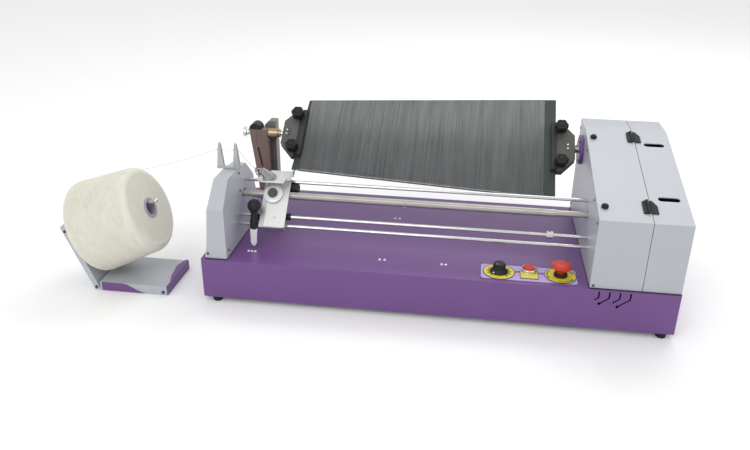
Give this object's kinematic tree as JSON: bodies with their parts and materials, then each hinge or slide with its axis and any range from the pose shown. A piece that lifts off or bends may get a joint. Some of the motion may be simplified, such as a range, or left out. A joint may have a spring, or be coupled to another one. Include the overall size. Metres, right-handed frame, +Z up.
{
  "type": "yarn board winder",
  "caption": "Motorised winder that lays yarn in even turns on a tapered board held between chucks, with a traversing guide carriage and a separate package stand.",
  "frame": {"origin": "on the table under the middle of the whole set's bounding box", "axes": "+X along the machine from the package stand to the drive housing, +Y from the control side to the rear, +Z up"},
  "size_m": [1.2104, 0.4481, 0.3404],
  "materials": {
    "purple_paint": "satin powder coat",
    "grey_paint": "satin powder coat",
    "white_ceramic": "glazed",
    "bronze_paint": "satin",
    "dark_paint": "satin",
    "zinc_sheet": "zinc plated",
    "bright_steel": "polished",
    "machined_steel": "turned",
    "stainless_plate": "brushed",
    "aluminium_parts": "milled",
    "brass_parts": "turned",
    "black_plastic": "moulded",
    "black_rubber": "moulded",
    "panel_print": "printed film",
    "yellow_print": "printed",
    "red_plastic": "moulded",
    "board_face": "matt",
    "grey_yarn": "wound yarn",
    "cream_yarn": "wound yarn",
    "paper_tube": "wound paper",
    "circuit_board": "solder mask"
  },
  "bodies": {
    "frame": {"base_box": "purple_paint", "base_floor": "zinc_sheet", "base_feet": "black_rubber", "machine_screws": "machined_steel", "drive_housing": "grey_paint", "bearing_wall": "zinc_sheet", "cover_bumpers": "black_rubber", "hinge_leaves": "black_plastic", "left_housing": "grey_paint", "yarn_fingers": "white_ceramic", "guide_rods": "bright_steel", "screw_bearings": "aluminium_parts", "trip_switch": "black_plastic", "tail_post": "grey_paint", "tail_bracket": "bronze_paint", "tail_cap": "black_plastic", "tail_bush": "brass_parts", "spindle_flange": "purple_paint", "gear_motor": "dark_paint", "drive_belts": "black_rubber", "power_supply": "zinc_sheet", "control_board": "circuit_board", "mains_inlet": "black_plastic", "control_panel": "panel_print", "legend_plates": "yellow_print", "control_bodies": "bright_steel", "stand_base": "grey_paint", "stand_panels": "purple_paint", "stand_arm": "grey_paint", "stand_peg": "bright_steel", "yarn_strand": "cream_yarn"},
    "cover": {"drive_cover": "grey_paint", "cover_leaves": "black_plastic"},
    "board_set": {"board": "board_face", "board_winding": "grey_yarn", "chuck_plates": "dark_paint", "drive_spindle": "machined_steel", "spindle_pulley": "black_plastic"},
    "clamp_knob_1": {"star_knob_1": "black_plastic"},
    "clamp_knob_2": {"star_knob_2": "black_plastic"},
    "clamp_knob_3": {"star_knob_3": "black_plastic"},
    "clamp_knob_4": {"star_knob_4": "black_plastic"},
    "screw_set": {"lead_screw": "machined_steel", "screw_pulley": "black_plastic"},
    "motor_shaft": {"motor_pulley": "aluminium_parts"},
    "trip_set": {"trip_rod": "bright_steel"},
    "tail_centre": {"tail_spindle": "bright_steel"},
    "carriage": {"carriage_block": "aluminium_parts", "carriage_plates": "stainless_plate", "carriage_guides": "bright_steel", "yarn_tail": "cream_yarn"},
    "discs": {"tension_discs": "white_ceramic"},
    "disc_nut": {"tension_nut": "machined_steel"},
    "nut_half": {"half_nut": "brass_parts"},
    "nut_lever": {"half_nut_lever": "black_plastic"},
    "speed_dial": {"speed_knob": "black_plastic"},
    "start_button": {"push_button": "red_plastic"},
    "stop_button": {"estop_head": "red_plastic"},
    "package": {"yarn_core": "paper_tube", "yarn_package": "cream_yarn"}
  },
  "joints": [
    {"name": "motor_spin", "type": "hinge", "parent": "frame", "child": "motor_shaft", "pos_m": [0.54416, 0.03892, 0.165], "axis": [1, 0, 0], "continuous": true},
    {"name": "board_spin", "type": "hinge", "parent": "frame", "child": "board_set", "pos_m": [0.42816, 0.12192, 0.2595], "axis": [1, 0, 0], "continuous": true},
    {"name": "screw_spin", "type": "hinge", "parent": "frame", "child": "screw_set", "pos_m": [0.44016, -0.06408, 0.1875], "axis": [1, 0, 0], "continuous": true},
    {"name": "carriage_traverse", "type": "slide", "parent": "frame", "child": "carriage", "axis": [1, 0, 0], "range_m": [0, 0.5]},
    {"name": "cover_hinge", "type": "hinge", "parent": "frame", "child": "cover", "pos_m": [0.52916, -0.14681, 0.24723], "axis": [0, -0.9698, -0.244], "range_deg": [0, 179]},
    {"name": "tail_pull", "type": "slide", "parent": "frame", "child": "tail_centre", "axis": [-1, 0, 0], "range_m": [0, 0.016], "stiffness_N_per_m": 400, "springref_m": -0.006},
    {"name": "trip_shift", "type": "slide", "parent": "frame", "child": "trip_set", "axis": [1, 0, 0], "range_m": [-0.003, 0.003]},
    {"name": "lever_swing", "type": "hinge", "parent": "carriage", "child": "nut_lever", "pos_m": [-0.21684, -0.10608, 0.1535], "axis": [-1, 0, 0], "range_deg": [0, 10]},
    {"name": "half_nut_release", "type": "slide", "parent": "carriage", "child": "nut_half", "axis": [0, 0.7071, -0.7071], "range_m": [0, 0.004]},
    {"name": "disc_spin", "type": "hinge", "parent": "carriage", "child": "discs", "pos_m": [-0.18884, -0.07994, 0.19592], "axis": [0, -0.7071, 0.7071], "continuous": true},
    {"name": "disc_nut_turn", "type": "hinge", "parent": "carriage", "child": "disc_nut", "pos_m": [-0.18884, -0.08418, 0.20017], "axis": [0, -0.7071, 0.7071], "range_deg": [-180, 180]},
    {"name": "clamp_knob_1_turn", "type": "hinge", "parent": "board_set", "child": "clamp_knob_1", "pos_m": [-0.18784, 0.1562, 0.28628], "axis": [0, -0.6157, 0.788], "range_deg": [-180, 180]},
    {"name": "clamp_knob_2_turn", "type": "hinge", "parent": "board_set", "child": "clamp_knob_2", "pos_m": [-0.18784, 0.08764, 0.23272], "axis": [0, -0.6157, 0.788], "range_deg": [-180, 180]},
    {"name": "clamp_knob_3_turn", "type": "hinge", "parent": "board_set", "child": "clamp_knob_3", "pos_m": [0.39416, 0.1562, 0.28628], "axis": [0, -0.6157, 0.788], "range_deg": [-180, 180]},
    {"name": "clamp_knob_4_turn", "type": "hinge", "parent": "board_set", "child": "clamp_knob_4", "pos_m": [0.39416, 0.08764, 0.23272], "axis": [0, -0.6157, 0.788], "range_deg": [-180, 180]},
    {"name": "speed_turn", "type": "hinge", "parent": "frame", "child": "speed_dial", "pos_m": [0.27416, -0.15608, 0.105], "axis": [0, 0, -1], "range_deg": [-140, 140]},
    {"name": "start_press", "type": "slide", "parent": "frame", "child": "start_button", "axis": [0, 0, -1], "range_m": [0, 0.003], "stiffness_N_per_m": 500, "springref_m": -0.002},
    {"name": "stop_press", "type": "slide", "parent": "frame", "child": "stop_button", "axis": [0, 0, -1], "range_m": [0, 0.005]},
    {"name": "package_turn", "type": "hinge", "parent": "frame", "child": "package", "pos_m": [-0.58036, -0.12608, 0.10923], "axis": [0.9272, 0, 0.3746], "continuous": true}
  ],
  "couplings": [
    {"joint": "motor_spin", "follows": "board_spin", "ratio": 2},
    {"joint": "screw_spin", "follows": "board_spin", "ratio": 1},
    {"joint": "half_nut_release", "follows": "lever_swing", "m_per_rad": 0.022918}
  ]
}
